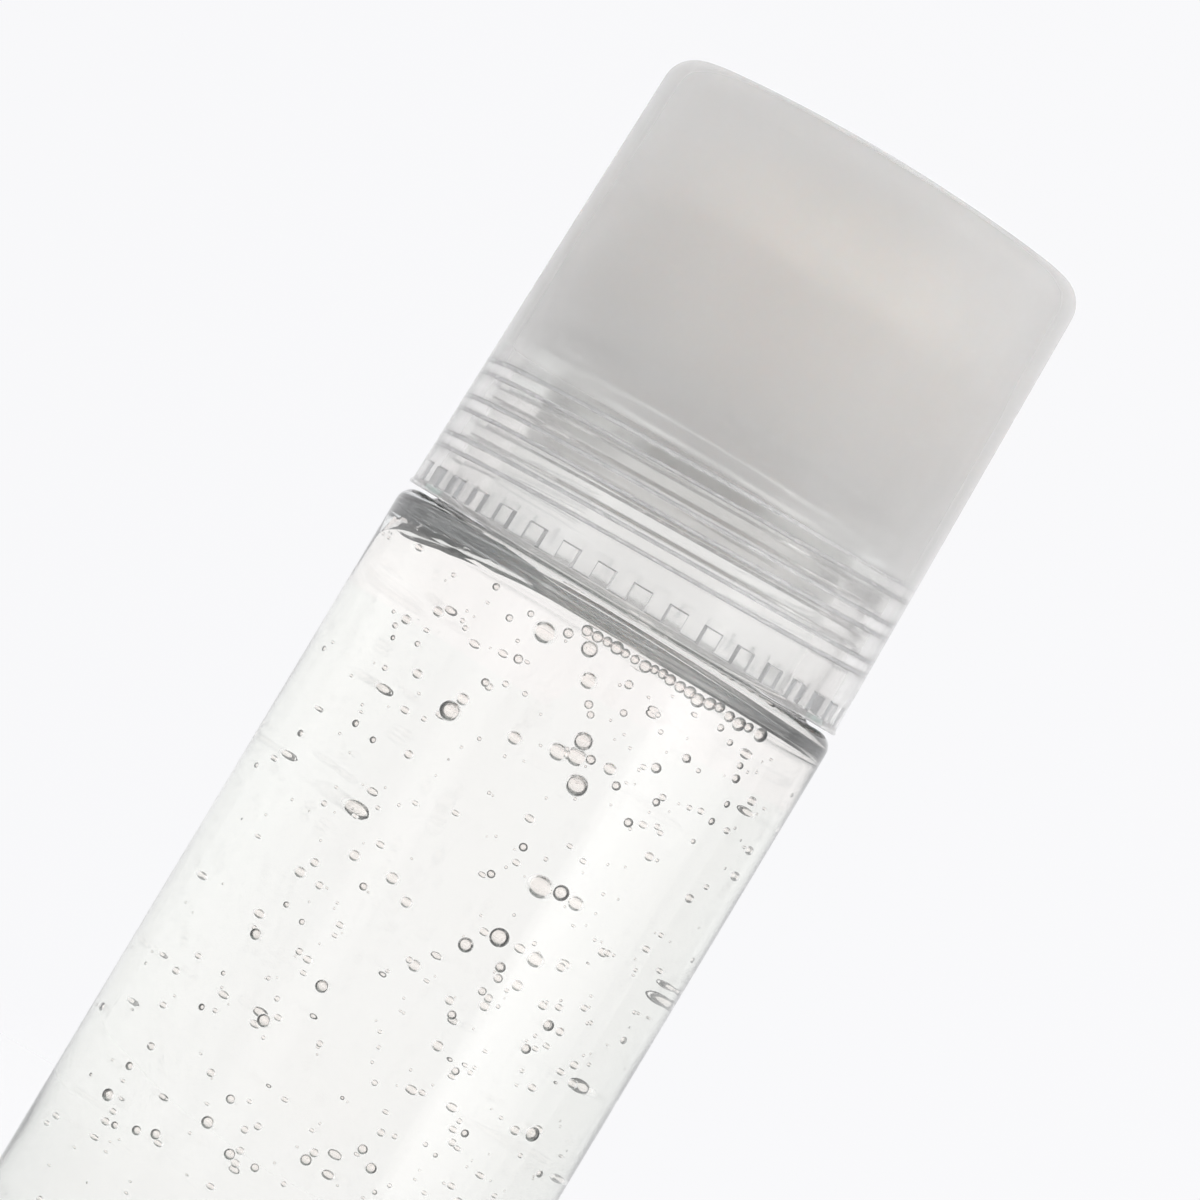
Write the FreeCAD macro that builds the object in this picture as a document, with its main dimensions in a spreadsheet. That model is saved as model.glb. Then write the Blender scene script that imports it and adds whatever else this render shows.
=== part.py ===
import FreeCAD, Part
import math
import os
import re
import Sketcher

# Roll-on bottle: a glass bottle of gel, a ball in a housing pressed into the neck, and a frosted screw cap.
# Millimetres, +Z up along the bottle's axis, origin at the centre of the base, front towards -Y.

SIZES = {
    # Glass bottle
    "bottle_radius": 19.0,
    "shoulder_height": 73.0,
    "heel_round": 2.4,
    "stand_ring_width": 3.0,
    "punt_depth": 1.2,
    "base_glass": 6.4,
    "wall_glass": 3.2,
    "cavity_floor_round": 4.0,
    "shoulder_round": 1.3,
    "shoulder_glass": 1.6,
    "cavity_top_round": 1.5,
    "bore_edge_round": 0.6,
    "neck_height": 14.2,
    "neck_wall": 2.6,
    "neck_foot_round": 0.6,
    "neck_rim_round": 0.6,
    # Gel
    "gel_gap": 0.05,
    "gel_headroom": 0.15,
    # Cap
    "cap_gap": 0.25,
    "cap_inset": 0.3,
    "cap_taper": 0.75,
    "cap_wall": 1.3,
    "cap_edge_round": 2.4,
    "cap_inner_round": 1.2,
    "thread_room": 1.2,
    "crown_rise": 1.25,
    "crown_wall": 1.1,
    "lip_height": 0.55,
    "lip_flare": 0.15,
    "notch_height": 1.6,
    "notch_depth": 0.55,
    "notch_count": 36,
    "notch_start_angle": 1.85,
    # Housing
    "flange_inset": 0.2,
    "flange_height": 2.4,
    "flange_round": 0.5,
    "flange_ledge": 1.4,
    "cup_side_wall": 1.12,
    "cup_floor_wall": 1.2,
    "cup_foot_round": 0.6,
    "rim_rise": 4.6,
    "rim_width": 0.8,
    "rim_bevel": 1.4,
    "feed_radius": 5.5,
    "feed_notch_depth": 1.6,
    "feed_notch_angle": 24.0,
    "feed_notch_count": 6,
    "plug_depth": 7.0,
    "plug_wall": 1.3,
    "plug_play": 0.35,
    "plug_bevel": 0.7,
    "bead_clearance": 0.03,
    "bead_height": 0.9,
    "bead_count": 3,
    # Ball
    "ball_rise": 9.5,
    "ball_wall": 1.6,
    "seat_clearance": 0.08,
    # Pad in the crown of the cap
    "pad_radius": 7.0,
    "pad_thickness": 1.35,
    "pad_proud": 1.25,
    "pad_gap": 0.3,
    "pad_crown_gap": 0.1,
    "pad_ring_play": 0.3,
    "pad_ring_wall": 1.0,
    # How far a cutting outline reaches past the face that it cuts
    "cut_overrun": 0.4,
}

FULL_TURN = 360.0
NOTCH_SHARE = 0.5

# Radii, from the outside of the bottle inwards, as formulas of the sizes
STAND_RADIUS = "(bottle_radius - heel_round - stand_ring_width)"
CAVITY_RADIUS = "(bottle_radius - wall_glass)"
CAP_FOOT_RADIUS = "(bottle_radius - cap_inset)"
CAP_TOP_RADIUS = f"({CAP_FOOT_RADIUS} - cap_taper)"
CAP_INSIDE = f"({CAP_FOOT_RADIUS} - cap_wall)"
NOTCH_RADIUS = f"({CAP_INSIDE} + notch_depth)"
NECK_RADIUS = f"({CAP_INSIDE} - thread_room)"
BORE_RADIUS = f"({NECK_RADIUS} - neck_wall)"
FLANGE_RADIUS = f"({NECK_RADIUS} - flange_inset)"
CUP_RADIUS = f"({FLANGE_RADIUS} - flange_ledge)"
SEAT_RADIUS = f"({CUP_RADIUS} - cup_side_wall)"
BALL_RADIUS = f"({SEAT_RADIUS} - seat_clearance)"
DISH_RADIUS = f"({BALL_RADIUS} + pad_gap)"

# Heights, from the base upwards
CAVITY_TOP = "(shoulder_height - shoulder_glass)"
CAP_FOOT = "(shoulder_height + cap_gap)"
LIP_TOP = f"({CAP_FOOT} + lip_height)"
NECK_TOP = "(shoulder_height + neck_height)"
FLANGE_TOP = f"({NECK_TOP} + flange_height)"
BALL_Z = f"({NECK_TOP} + ball_rise)"
PAD_FOOT = f"({BALL_Z} + sqrt({DISH_RADIUS}^2 - pad_radius^2))"
CAP_TOP = f"({BALL_Z} + {DISH_RADIUS} + pad_thickness + pad_crown_gap + crown_wall)"
CAP_SIDE_TOP = f"({CAP_TOP} - crown_rise)"

# The punt under the base and the crown of the cap are shallow domes, each with its centre on the axis
PUNT_CENTRE = f"((punt_depth^2 - {STAND_RADIUS}^2) / (2 * punt_depth))"
CROWN_RADIUS = f"(({CAP_TOP_RADIUS}^2 + crown_rise^2) / (2 * crown_rise))"
CROWN_CENTRE = f"({CAP_TOP} - {CROWN_RADIUS})"

doc = FreeCAD.newDocument("RollOnBottle")


def fill_sheet():
    """Write every driving size into the sheet, with its name beside it."""
    sheet = doc.addObject("Spreadsheet::Sheet", "Sizes")
    for row, (name, value) in enumerate(SIZES.items(), start=1):
        sheet.set(f"A{row}", name)
        sheet.set(f"B{row}", str(value))
        sheet.setAlias(f"B{row}", name)
    doc.recompute()
    return sheet


def bound(formula):
    """Point every size name in a formula at its cell in the sheet."""
    def cell(match):
        word = match.group(0)
        return f"Sizes.{word}" if word in SIZES else word
    return re.sub(r"[a-z]\w*", cell, formula)


def number(formula):
    """The formula's value with the sizes as they are now."""
    return float(sheet.evalExpression(formula))


def corner(r, z, fillet=None, about=None, hold="z"):
    """One corner of a turned outline.

    fillet rounds the corner. about makes the edge that arrives here an arc round that height on
    the axis, and then only the coordinate named by hold is fixed, because the arc gives the other.
    """
    return {"r": r, "z": z, "fillet": fillet, "about": about, "hold": hold}


def spot(point):
    """A corner's place in the plane of the sketch."""
    return FreeCAD.Vector(number(point["r"]), number(point["z"]), 0)


def arc_between(centre, start, end):
    """The shorter arc from start to end, and which of its ends each one is."""
    first = math.atan2(start.y - centre.y, start.x - centre.x)
    last = math.atan2(end.y - centre.y, end.x - centre.x)
    circle = Part.Circle(centre, FreeCAD.Vector(0, 0, 1), (start - centre).Length)
    turns_left = (start - centre).cross(end - centre).z > 0
    if turns_left:
        return Part.ArcOfCircle(circle, first, last), 1, 2
    return Part.ArcOfCircle(circle, last, first), 2, 1


def heading(at, goal, about):
    """The direction in which an edge, straight or an arc about a height on the axis, leaves a corner."""
    straight = (goal - at).normalize()
    if not about:
        return straight
    spoke = at - FreeCAD.Vector(0, number(about), 0)
    tangent = FreeCAD.Vector(-spoke.y, spoke.x, 0).normalize()
    return tangent if tangent.dot(straight) > 0 else -tangent


def fillet_ends(at, back, ahead, radius):
    """Where a fillet of that radius leaves the two edges of a corner, and its centre."""
    half = back.getAngle(ahead) / 2
    reach = radius / math.tan(half)
    centre = at + (back + ahead).normalize() * (radius / math.sin(half))
    return at + back * reach, at + ahead * reach, centre


class Drawing:
    """Draws a closed outline in a sketch, with every size bound to the sheet."""

    def __init__(self, sketch):
        self.sketch = sketch

    def bind(self, name, formula, *constraint):
        index = self.sketch.addConstraint(Sketcher.Constraint(*constraint, number(formula)))
        self.sketch.renameConstraint(index, name)
        self.sketch.setExpression(f"Constraints.{name}", bound(formula))

    def tie(self, *constraint):
        self.sketch.addConstraint(Sketcher.Constraint(*constraint))

    def place(self, name, geometry, end, r=None, z=None):
        """Fix a point's distance from the axis, its height, or both."""
        if r == "0":
            self.tie("PointOnObject", geometry, end, -2)
        elif r:
            self.bind(f"{name}_r", r, "DistanceX", -1, 1, geometry, end)
        if z == "0":
            self.tie("PointOnObject", geometry, end, -1)
        elif z:
            self.bind(f"{name}_z", z, "DistanceY", -1, 1, geometry, end)

    def outline(self, corners):
        spots = [spot(point) for point in corners]
        count = len(corners)
        arrive, leave, centres = list(spots), list(spots), {}
        for i, point in enumerate(corners):
            if point["fillet"]:
                following = (i + 1) % count
                back = heading(spots[i], spots[i - 1], point["about"])
                ahead = heading(spots[i], spots[following], corners[following]["about"])
                ends = fillet_ends(spots[i], back, ahead, number(point["fillet"]))
                arrive[i], leave[i], centres[i] = ends
        edges = []
        for i in range(count):
            goal = (i + 1) % count
            about = corners[goal]["about"]
            edges.append(self.edge(f"edge{i}", leave[i], arrive[goal], about))
        for i, point in enumerate(corners):
            before, after = edges[i - 1], edges[i]
            if point["fillet"]:
                self.rounded(i, point, spots[i], before, after, arrive[i], leave[i], centres[i])
                continue
            self.tie("Coincident", before[0], before[2], after[0], after[1])
            self.place_corner(i, point, after[0], after[1])

    def place_corner(self, i, point, geometry, end):
        """Fix a corner, leaving to an arc that arrives there the coordinate that it settles."""
        free_r = point["about"] and point["hold"] == "z"
        free_z = point["about"] and point["hold"] == "r"
        r = None if free_r else point["r"]
        z = None if free_z else point["z"]
        self.place(f"corner{i}", geometry, end, r, z)

    def edge(self, name, start, end, about):
        """A straight edge, or an arc about a height on the axis: geometry, first end, last end."""
        if not about:
            return self.sketch.addGeometry(Part.LineSegment(start, end), False), 1, 2
        arc, first, last = arc_between(FreeCAD.Vector(0, number(about), 0), start, end)
        geometry = self.sketch.addGeometry(arc, False)
        self.place(f"{name}_centre", geometry, 3, "0", about)
        return geometry, first, last

    def rounded(self, i, point, at, before, after, start, end, centre):
        """Join two edges by a fillet whose sharp corner stays where it was drawn."""
        arc, first, last = arc_between(centre, start, end)
        fillet = self.sketch.addGeometry(arc, False)
        sharp = self.sketch.addGeometry(Part.Point(at), True)
        self.place_corner(i, point, sharp, 1)
        self.tie("PointOnObject", sharp, 1, before[0])
        self.tie("PointOnObject", sharp, 1, after[0])
        self.tie("Tangent", before[0], before[2], fillet, first)
        self.tie("Tangent", after[0], after[1], fillet, last)
        self.bind(f"fillet{i}", point["fillet"], "Radius", fillet)


def half_plane_sketch(body, name, corners, angle=None):
    """Sketch an outline on a plane through the axis, turned about the axis by an angle if one is given."""
    sketch = body.newObject("Sketcher::SketchObject", name)
    plane = next(item for item in body.Origin.OriginFeatures if item.Role == "XZ_Plane")
    sketch.AttachmentSupport = [(plane, "")]
    sketch.MapMode = "FlatFace"
    if angle:
        turn = FreeCAD.Rotation(FreeCAD.Vector(0, 1, 0), number(angle))
        sketch.AttachmentOffset = FreeCAD.Placement(FreeCAD.Vector(), turn)
        sketch.setExpression("AttachmentOffset.Rotation.Angle", bound(angle))
    Drawing(sketch).outline(corners)
    doc.recompute()
    return sketch


def turned_body(label, corners):
    """A body made by turning one outline all the way round the axis."""
    body = doc.addObject("PartDesign::Body", label)
    sketch = half_plane_sketch(body, f"{label}_outline", corners)
    turned = body.newObject("PartDesign::Revolution", f"{label}_turned")
    turned.Profile = sketch
    turned.ReferenceAxis = (sketch, ["V_Axis"])
    turned.Angle = FULL_TURN
    doc.recompute()
    return body


def cut_round(body, name, corners, sweep, count, start_angle=None):
    """Cut one outline through a short sweep about the axis, and repeat it evenly round the body."""
    whole = body.Shape.Volume
    sketch = half_plane_sketch(body, f"{name}_outline", corners, start_angle)
    groove = body.newObject("PartDesign::Groove", f"{name}_cut")
    groove.Profile = sketch
    groove.ReferenceAxis = (sketch, ["V_Axis"])
    groove.Midplane = True
    groove.setExpression("Angle", bound(sweep))
    doc.recompute()
    pattern = body.newObject("PartDesign::PolarPattern", f"{name}_pattern")
    pattern.Originals = [groove]
    pattern.Axis = (sketch, ["V_Axis"])
    pattern.Angle = FULL_TURN
    pattern.setExpression("Occurrences", bound(count))
    body.Tip = pattern
    doc.recompute()
    if body.Shape.Volume >= whole:
        raise RuntimeError(f"{name} cut nothing")


def box_outline(r_inner, r_outer, z_low, z_high):
    """Four corners of a straight-sided cutting outline."""
    return [
        corner(r_inner, z_low),
        corner(r_outer, z_low),
        corner(r_outer, z_high),
        corner(r_inner, z_high),
    ]


def glass_bottle():
    """Straight glass body with a shallow punt, a tight shoulder and a plain wide neck."""
    turned_body("glass_bottle", [
        corner("0", "punt_depth"),
        corner(STAND_RADIUS, "0", about=PUNT_CENTRE),
        corner("bottle_radius", "0", fillet="heel_round"),
        corner("bottle_radius", "shoulder_height", fillet="shoulder_round"),
        corner(NECK_RADIUS, "shoulder_height", fillet="neck_foot_round"),
        corner(NECK_RADIUS, NECK_TOP, fillet="neck_rim_round"),
        corner(BORE_RADIUS, NECK_TOP, fillet="neck_rim_round"),
        corner(BORE_RADIUS, CAVITY_TOP, fillet="bore_edge_round"),
        corner(CAVITY_RADIUS, CAVITY_TOP, fillet="cavity_top_round"),
        corner(CAVITY_RADIUS, "base_glass", fillet="cavity_floor_round"),
        corner("0", "base_glass"),
    ])


def gel_fill():
    """Gel that fills the bottle to just under the shoulder."""
    radius = f"({CAVITY_RADIUS} - gel_gap)"
    floor = "(base_glass + gel_gap)"
    level = f"({CAVITY_TOP} - gel_headroom)"
    turned_body("gel_fill", [
        corner("0", floor),
        corner(radius, floor, fillet="cavity_floor_round"),
        corner(radius, level, fillet="cavity_top_round"),
        corner("0", level),
    ])


def sealing_beads(radius, foot):
    """Corners of the beads round the plug, spread evenly between its foot and the flange."""
    crest = f"({BORE_RADIUS} - bead_clearance)"
    corners = []
    count = int(number("bead_count"))
    for i in range(count):
        middle = f"({foot} + plug_depth * ({i} + 1) / ({count} + 1))"
        corners.append(corner(radius, f"({middle} - bead_height / 2)"))
        corners.append(corner(crest, middle))
        corners.append(corner(radius, f"({middle} + bead_height / 2)"))
    return corners


def ball_housing():
    """Cup that holds the ball above the neck, with a flange on the rim and a beaded plug in the bore."""
    under_radius = f"({SEAT_RADIUS} + cup_floor_wall)"
    plug_radius = f"({BORE_RADIUS} - plug_play)"
    plug_inside = f"({plug_radius} - plug_wall)"
    plug_foot = f"({NECK_TOP} - plug_depth)"
    rim_top = f"({BALL_Z} + rim_rise)"
    rim_radius = f"sqrt({SEAT_RADIUS}^2 - rim_rise^2)"
    floor_below = f"({BALL_Z} - sqrt({under_radius}^2 - feed_radius^2))"
    floor_above = f"({BALL_Z} - sqrt({SEAT_RADIUS}^2 - feed_radius^2))"
    plug_roof = f"({BALL_Z} - sqrt({under_radius}^2 - {plug_inside}^2))"
    body = turned_body("ball_housing", [
        corner("feed_radius", floor_below),
        corner(plug_inside, plug_roof, about=BALL_Z, hold="r"),
        corner(plug_inside, plug_foot),
        corner(f"({plug_radius} - plug_bevel)", plug_foot),
        corner(plug_radius, f"({plug_foot} + plug_bevel)"),
        *sealing_beads(plug_radius, plug_foot),
        corner(plug_radius, NECK_TOP),
        corner(FLANGE_RADIUS, NECK_TOP),
        corner(FLANGE_RADIUS, FLANGE_TOP, fillet="flange_round"),
        corner(CUP_RADIUS, FLANGE_TOP, fillet="cup_foot_round"),
        corner(CUP_RADIUS, f"({rim_top} - rim_bevel)"),
        corner(f"({rim_radius} + rim_width)", rim_top),
        corner(rim_radius, rim_top),
        corner("feed_radius", floor_above, about=BALL_Z, hold="r"),
    ])
    notch_outer = "(feed_radius + feed_notch_depth)"
    notch_low = f"({floor_below} - cut_overrun)"
    notch_high = f"({BALL_Z} - sqrt({SEAT_RADIUS}^2 - {notch_outer}^2) + cut_overrun)"
    notch = box_outline("(feed_radius - cut_overrun)", notch_outer, notch_low, notch_high)
    cut_round(body, "feed_notch", notch, "feed_notch_angle", "feed_notch_count")


def roller_ball():
    """Hollow ball."""
    outer = doc.addObject("Part::Sphere", "ball_outside")
    outer.setExpression("Radius", bound(BALL_RADIUS))
    inner = doc.addObject("Part::Sphere", "ball_hollow")
    inner.setExpression("Radius", bound(f"{BALL_RADIUS} - ball_wall"))
    for sphere in (outer, inner):
        sphere.setExpression("Placement.Base.z", bound(BALL_Z))
    ball = doc.addObject("Part::Cut", "roller_ball")
    ball.Base = outer
    ball.Tool = inner


def under_crown(r, gap="0"):
    """Height at radius r of a surface that runs a gap under the inside of the crown."""
    return f"({CROWN_CENTRE} + sqrt(({CROWN_RADIUS} - crown_wall - {gap})^2 - ({r})^2))"


def cap_shell():
    """Tapered screw cap with a domed crown, a ring for the pad and a castellated inner rim."""
    inside_top = f"({CAP_TOP_RADIUS} - cap_wall)"
    ring_inside = "(pad_radius + pad_ring_play)"
    ring_outside = f"({ring_inside} + pad_ring_wall)"
    ring_foot = f"({PAD_FOOT} + pad_proud)"
    body = turned_body("cap_shell", [
        corner(NOTCH_RADIUS, CAP_FOOT),
        corner(f"({CAP_FOOT_RADIUS} + lip_flare)", CAP_FOOT),
        corner(CAP_FOOT_RADIUS, LIP_TOP),
        corner(CAP_TOP_RADIUS, CAP_SIDE_TOP, fillet="cap_edge_round"),
        corner("0", CAP_TOP, about=CROWN_CENTRE, hold="r"),
        corner("0", under_crown("0")),
        corner(ring_inside, under_crown(ring_inside), about=CROWN_CENTRE, hold="r"),
        corner(ring_inside, ring_foot),
        corner(ring_outside, ring_foot),
        corner(ring_outside, under_crown(ring_outside)),
        corner(inside_top, under_crown(inside_top), fillet="cap_inner_round", about=CROWN_CENTRE, hold="r"),
        corner(CAP_INSIDE, LIP_TOP),
        corner(NOTCH_RADIUS, LIP_TOP),
    ])
    notch_inner = f"({CAP_INSIDE} - cut_overrun)"
    notch_low = f"({LIP_TOP} - lip_height / 2)"
    notch_high = f"({LIP_TOP} + notch_height)"
    notch = box_outline(notch_inner, NOTCH_RADIUS, notch_low, notch_high)
    sweep = f"{FULL_TURN} / notch_count * {NOTCH_SHARE}"
    cut_round(body, "rim_notch", notch, sweep, "notch_count", "notch_start_angle")


def cap_pad():
    """Soft pad under the crown, dished to the ball."""
    turned_body("cap_pad", [
        corner("0", under_crown("0", "pad_crown_gap")),
        corner("pad_radius", under_crown("pad_radius", "pad_crown_gap"), about=CROWN_CENTRE, hold="r"),
        corner("pad_radius", PAD_FOOT),
        corner("0", f"({BALL_Z} + {DISH_RADIUS})", about=BALL_Z, hold="r"),
    ])


def write_parts(labels):
    """Check the whole document, then write one file for each piece."""
    doc.recompute()
    for item in doc.Objects:
        if "Invalid" in item.State or "Error" in item.State:
            raise RuntimeError(f"{item.Name} did not build: {item.State}")
    pieces = {label: doc.getObjectsByLabel(label)[0].Shape for label in labels}
    for label, shape in pieces.items():
        if shape.isNull() or not shape.isValid() or not shape.Solids:
            raise RuntimeError(f"{label} is not a sound solid")
    os.makedirs("parts", exist_ok=True)
    for label, shape in pieces.items():
        shape.exportStep(f"parts/{label}.step")
        print(f"{label}: {len(shape.Solids)} solid, {shape.Volume:.1f} mm3")


sheet = fill_sheet()
glass_bottle()
gel_fill()
ball_housing()
roller_ball()
cap_shell()
cap_pad()
write_parts(["glass_bottle", "gel_fill", "ball_housing", "roller_ball", "cap_shell", "cap_pad"])
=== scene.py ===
import math
import random

import bmesh
import bpy
from mathutils import Matrix, Vector


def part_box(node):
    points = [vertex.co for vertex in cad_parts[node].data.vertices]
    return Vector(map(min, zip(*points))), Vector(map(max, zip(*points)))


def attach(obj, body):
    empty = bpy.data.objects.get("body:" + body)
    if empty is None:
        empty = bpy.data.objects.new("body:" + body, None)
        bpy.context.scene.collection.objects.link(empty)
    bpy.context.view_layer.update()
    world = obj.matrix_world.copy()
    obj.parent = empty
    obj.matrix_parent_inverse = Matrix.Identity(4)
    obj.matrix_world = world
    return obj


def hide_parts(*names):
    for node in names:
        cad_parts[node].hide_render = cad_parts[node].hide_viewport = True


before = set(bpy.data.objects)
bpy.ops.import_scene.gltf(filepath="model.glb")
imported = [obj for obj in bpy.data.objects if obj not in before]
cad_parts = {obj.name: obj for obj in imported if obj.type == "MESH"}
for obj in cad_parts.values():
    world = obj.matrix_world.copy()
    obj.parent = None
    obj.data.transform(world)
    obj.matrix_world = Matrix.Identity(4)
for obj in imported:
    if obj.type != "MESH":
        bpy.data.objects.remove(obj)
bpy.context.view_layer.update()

# Lengths below are in millimetres and turn into metres when a mesh is made.
MM = 0.001
FULL = 2 * math.pi
FRONT = -math.pi / 2
SHARP_ANGLE = math.radians(35)
TINY = 0.01

# Sizes that the frame gives
BOTTLE_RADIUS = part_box("glass_bottle")[1].x / MM
NECK_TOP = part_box("glass_bottle")[1].z / MM
GEL_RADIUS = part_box("gel_fill")[1].x / MM
GEL_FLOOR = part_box("gel_fill")[0].z / MM
GEL_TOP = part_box("gel_fill")[1].z / MM
LIP_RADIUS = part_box("cap_shell")[1].x / MM
CAP_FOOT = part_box("cap_shell")[0].z / MM
CAP_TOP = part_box("cap_shell")[1].z / MM
FLANGE_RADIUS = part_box("ball_housing")[1].x / MM
PLUG_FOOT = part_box("ball_housing")[0].z / MM
RIM_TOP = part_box("ball_housing")[1].z / MM
BALL_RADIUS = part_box("roller_ball")[1].x / MM
BALL_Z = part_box("roller_ball")[1].z / MM - BALL_RADIUS
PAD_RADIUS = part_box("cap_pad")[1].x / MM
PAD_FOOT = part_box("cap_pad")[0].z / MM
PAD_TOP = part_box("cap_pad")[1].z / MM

# Glass bottle
CAP_GAP = 0.25
SHOULDER = CAP_FOOT - CAP_GAP
GEL_GAP = 0.05
GEL_HEADROOM = 0.15
BASE = GEL_FLOOR - GEL_GAP
CAVITY_RADIUS = GEL_RADIUS + GEL_GAP
CAVITY_TOP = GEL_TOP + GEL_HEADROOM
HEEL_ROUND = 2.4
STAND_WIDTH = 3.0
STAND_RADIUS = BOTTLE_RADIUS - HEEL_ROUND - STAND_WIDTH
PUNT_DEPTH = 1.2
SHOULDER_ROUND = 1.3
CAVITY_FLOOR_ROUND = 4.0
CAVITY_TOP_ROUND = 1.5
SMALL_ROUND = 0.6
NECK_RADIUS = 16.2
BORE_RADIUS = 13.6
GLASS_IOR = 1.5

# Screw cap
LIP_OVERHANG = 0.15
LIP_HEIGHT = 0.55
LIP_BEVEL = 0.1
LIP_TOP = CAP_FOOT + LIP_HEIGHT
CAP_TAPER = 0.75
CAP_WALL = 1.3
CAP_FOOT_RADIUS = LIP_RADIUS - LIP_OVERHANG
CAP_TOP_RADIUS = CAP_FOOT_RADIUS - CAP_TAPER
CAP_INSIDE = CAP_FOOT_RADIUS - CAP_WALL
CAP_INSIDE_TOP = CAP_TOP_RADIUS - CAP_WALL
CAP_EDGE_ROUND = 2.4
CAP_INNER_ROUND = 1.2
CROWN_RISE = 1.25
CROWN_WALL = 1.1
CROWN_RADIUS = (CAP_TOP_RADIUS ** 2 + CROWN_RISE ** 2) / (2 * CROWN_RISE)
CROWN_CENTRE = CAP_TOP - CROWN_RADIUS
CROWN_RINGS = (3, 6, 9, 12, 14.5)
CROWN_OUTER_RING = 13
CROWN_INNER_RING = 4
CAP_SIDE_TOP = CAP_TOP - CROWN_RISE
PAD_RING_GAP = 0.3
PAD_RING_WALL = 1.0
PAD_RING_LIFT = 1.25
PAD_RING_INSIDE = PAD_RADIUS + PAD_RING_GAP
PAD_RING_OUTSIDE = PAD_RING_INSIDE + PAD_RING_WALL
PAD_RING_FOOT = PAD_FOOT + PAD_RING_LIFT

# Notches that cut the inside of the cap's rim into teeth
NOTCH_DEPTH = 0.55
NOTCH_HEIGHT = 1.6
NOTCH_RADIUS = CAP_INSIDE + NOTCH_DEPTH
NOTCH_TOP = LIP_TOP + NOTCH_HEIGHT
NOTCH_COUNT = 36
NOTCH_PITCH = FULL / NOTCH_COUNT
NOTCH_SHARE = 0.5
NOTCH_HALF = NOTCH_PITCH * NOTCH_SHARE / 2
NOTCH_FIRST = math.radians(1.85)
EDGE_ANGLE = math.radians(0.25)
EDGE_SLOPE = 0.12

# Screw thread, seen through the cap: ribs that rise round the front and end at a vent slot at the back
THREAD_LEAD = 3.2
THREAD_MIDDLE = SHOULDER + 8.3
CAP_THREAD = [THREAD_MIDDLE + THREAD_LEAD * lap for lap in (-1, 0, 1)]
NECK_THREAD = [CAP_THREAD[0] + THREAD_LEAD / 2, CAP_THREAD[1] + THREAD_LEAD / 2]
THREAD_HEIGHT = 0.75
THREAD_WIDTH = 1.35
THREAD_CREST = 0.85
THREAD_ROUND = 0.12
THREAD_FADE = 0.03
VENT_TURN = 0.44
ROW_GAP = 0.01

# The cap grows rougher from THREAD_TOP to FROST_FROM, and its outside milkier from CLEAR_TOP to MILKY_FROM.
THREAD_TOP = SHOULDER + 9
FROST_FROM = SHOULDER + 20
CLEAR_TOP = SHOULDER + 11.5
MILKY_FROM = SHOULDER + 13
CLEAREST_ROUGHNESS = 0.08
SOFT_PLASTIC_IOR = 1.45
# Painted shade darkens the cap's colour from this far below the rim of the ball's cup to as far above it, and
# stays full above that.
PAINTED_SHADE_HALF = 3
# An inside face is steep if its normal has less than this along the spoke from the axis; steep faces round the
# notches and thread get painted shade.
STEEP = 0.75

# Ball housing
FLANGE_LEDGE = 1.4
FLANGE_HEIGHT = 2.4
FLANGE_TOP = NECK_TOP + FLANGE_HEIGHT
CUP_RADIUS = FLANGE_RADIUS - FLANGE_LEDGE
BALL_GAP = 0.08
SEAT_WALL = 1.2
SEAT_RADIUS = BALL_RADIUS + BALL_GAP
UNDER_RADIUS = SEAT_RADIUS + SEAT_WALL
FEED_RADIUS = 5.5
FEED_NOTCH = 1.6
FEED_NOTCH_COUNT = 6
FEED_NOTCH_ANGLE = math.radians(24)
FEED_NOTCH_BLEND = 0.02
RIM_WIDTH = 0.8
RIM_BEVEL = 1.4
RIM_EDGE = 0.1
PLUG_GAP = 0.35
PLUG_WALL = 1.3
PLUG_RADIUS = BORE_RADIUS - PLUG_GAP
PLUG_INSIDE = PLUG_RADIUS - PLUG_WALL
PLUG_BEVEL = 0.7
PLUG_INNER_EDGE = 0.5
BEAD_GAP = 0.03
BEAD_CREST = BORE_RADIUS - BEAD_GAP
BEAD_HEIGHT = 0.9
BEAD_COUNT = 3

# Ball and pad
SEAM_DEPTH = 0.03
SEAM_HALF = 0.5
PAD_GAP = 0.3
PAD_DISH = BALL_RADIUS + PAD_GAP
PAD_DOME_RADIUS = 161

# Camera, level with the shoulder and rolled so that the bottle leans to the right
CAMERA_ROLL = math.radians(31)
CAMERA_LENS = 220
CAMERA_DISTANCE = 557
AIM_X = -1.75
EYE_Z = SHOULDER - 0.05

# Gel, and the flat pocket of air that lies under the left of the shoulder
GEL_IOR = 1.37
GEL_WETTING = 0.08
GEL_EDGE = 0.3
POCKET_DEPTH = 2.1
POCKET_RIGHT = -3.5
POCKET_LEFT = -14.5
POCKET_REACH = 0.93
POCKET_FADE = (GEL_TOP - 7, GEL_TOP - 1.2)

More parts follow.
